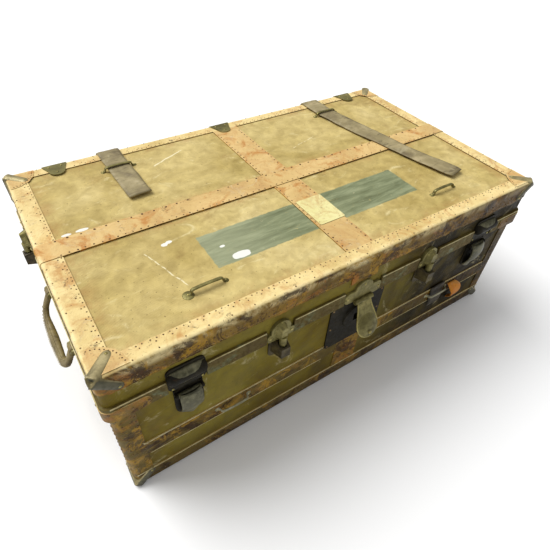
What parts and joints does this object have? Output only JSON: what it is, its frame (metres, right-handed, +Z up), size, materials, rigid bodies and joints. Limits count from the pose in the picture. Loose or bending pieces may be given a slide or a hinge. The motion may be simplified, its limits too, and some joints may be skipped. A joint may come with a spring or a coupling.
{
  "type": "storage trunk",
  "caption": "Flat-topped travelling trunk with hide-bound canvas sides, a hinged lid, hasp lock, draw latches, straps, end handles and a lift-out tray.",
  "frame": {"origin": "middle of the underside, on the surface that the trunk stands on", "axes": "+X along the trunk's length, -Y towards its front, +Z up"},
  "size_m": [0.9826, 0.5757, 0.3482],
  "materials": {
    "board_wood": "bare pine board",
    "canvas": "varnished canvas, faded and soiled",
    "hide": "rawhide, varnished and worn through at the edges",
    "strap_leather": "dark harness leather, cracked",
    "grip_leather": "dark stitched leather",
    "brass": "dull olive brass plate",
    "black_iron": "worn black japanned iron",
    "edge_tin": "dull tinned strip",
    "rim_steel": "dull tinned steel",
    "lining_paper": "aged lining paper",
    "tray_board": "covered pasteboard",
    "patch_hide": "pale nailed patch"
  },
  "bodies": {
    "trunk_body": {"body_front_board": "board_wood", "body_back_board": "board_wood", "body_left_board": "board_wood", "body_right_board": "board_wood", "body_bottom_board": "board_wood", "body_canvas": "canvas", "body_lining": "lining_paper", "rim_tongue": "rim_steel", "corner_bindings": "hide", "bottom_binding": "hide", "body_strips": "hide", "body_cross_band": "hide", "body_corner_caps": "brass", "lock_plate": "black_iron", "lock_case": "black_iron", "latch_bases": "black_iron", "latch_pins": "black_iron", "dowel_sockets": "brass", "front_keepers": "black_iron", "strap_stub": "strap_leather", "hinge_body_leaves": "brass", "hinge_pins": "brass", "handle_brackets": "brass", "tray_cleats": "board_wood"},
    "lid": {"valance_tabs": "hide", "lid_top_board": "board_wood", "lid_front_rail": "board_wood", "lid_back_rail": "board_wood", "lid_left_rail": "board_wood", "lid_right_rail": "board_wood", "lid_canvas": "canvas", "lid_lining": "lining_paper", "lid_binding": "hide", "lid_long_band": "hide", "lid_cross_band": "hide", "lid_patch": "patch_hide", "lid_valance": "edge_tin", "lid_corner_caps": "brass", "hinge_lid_leaves": "brass", "hasp_plate": "brass", "hasp_pin": "brass", "latch_hoods": "black_iron", "lid_dowels": "brass", "lid_keepers": "brass", "strap_left": "strap_leather", "strap_right": "strap_leather"},
    "hasp": {"hasp": "brass"},
    "latch_lever_left": {"latch_lever_left": "black_iron"},
    "latch_lever_right": {"latch_lever_right": "black_iron"},
    "handle_left": {"handle_left": "grip_leather"},
    "handle_right": {"handle_right": "grip_leather"},
    "tray": {"tray_floor": "tray_board", "tray_walls": "tray_board", "tray_divider": "tray_board", "tray_pulls": "strap_leather"}
  },
  "joints": [
    {"name": "lid_hinge", "type": "hinge", "parent": "trunk_body", "child": "lid", "pos_m": [0, 0.2653, 0.2384], "axis": [-1, 0, 0], "range_deg": [0, 100]},
    {"name": "hasp_hinge", "type": "hinge", "parent": "lid", "child": "hasp", "pos_m": [0.005, -0.2697, 0.239], "axis": [-1, 0, 0], "range_deg": [-25, 85]},
    {"name": "latch_left_hinge", "type": "hinge", "parent": "trunk_body", "child": "latch_lever_left", "pos_m": [-0.336, -0.2653, 0.222], "axis": [-1, 0, 0], "range_deg": [0, 100]},
    {"name": "latch_right_hinge", "type": "hinge", "parent": "trunk_body", "child": "latch_lever_right", "pos_m": [0.336, -0.2653, 0.222], "axis": [-1, 0, 0], "range_deg": [0, 100]},
    {"name": "handle_left_hinge", "type": "hinge", "parent": "trunk_body", "child": "handle_left", "pos_m": [-0.4626, 0, 0.196], "axis": [0, 1, 0], "range_deg": [-14, 126]},
    {"name": "handle_right_hinge", "type": "hinge", "parent": "trunk_body", "child": "handle_right", "pos_m": [0.4626, 0, 0.196], "axis": [0, -1, 0], "range_deg": [-14, 126]},
    {"name": "tray_lift", "type": "slide", "parent": "trunk_body", "child": "tray", "axis": [0, 0, 1], "range_m": [0, 0.08]}
  ]
}
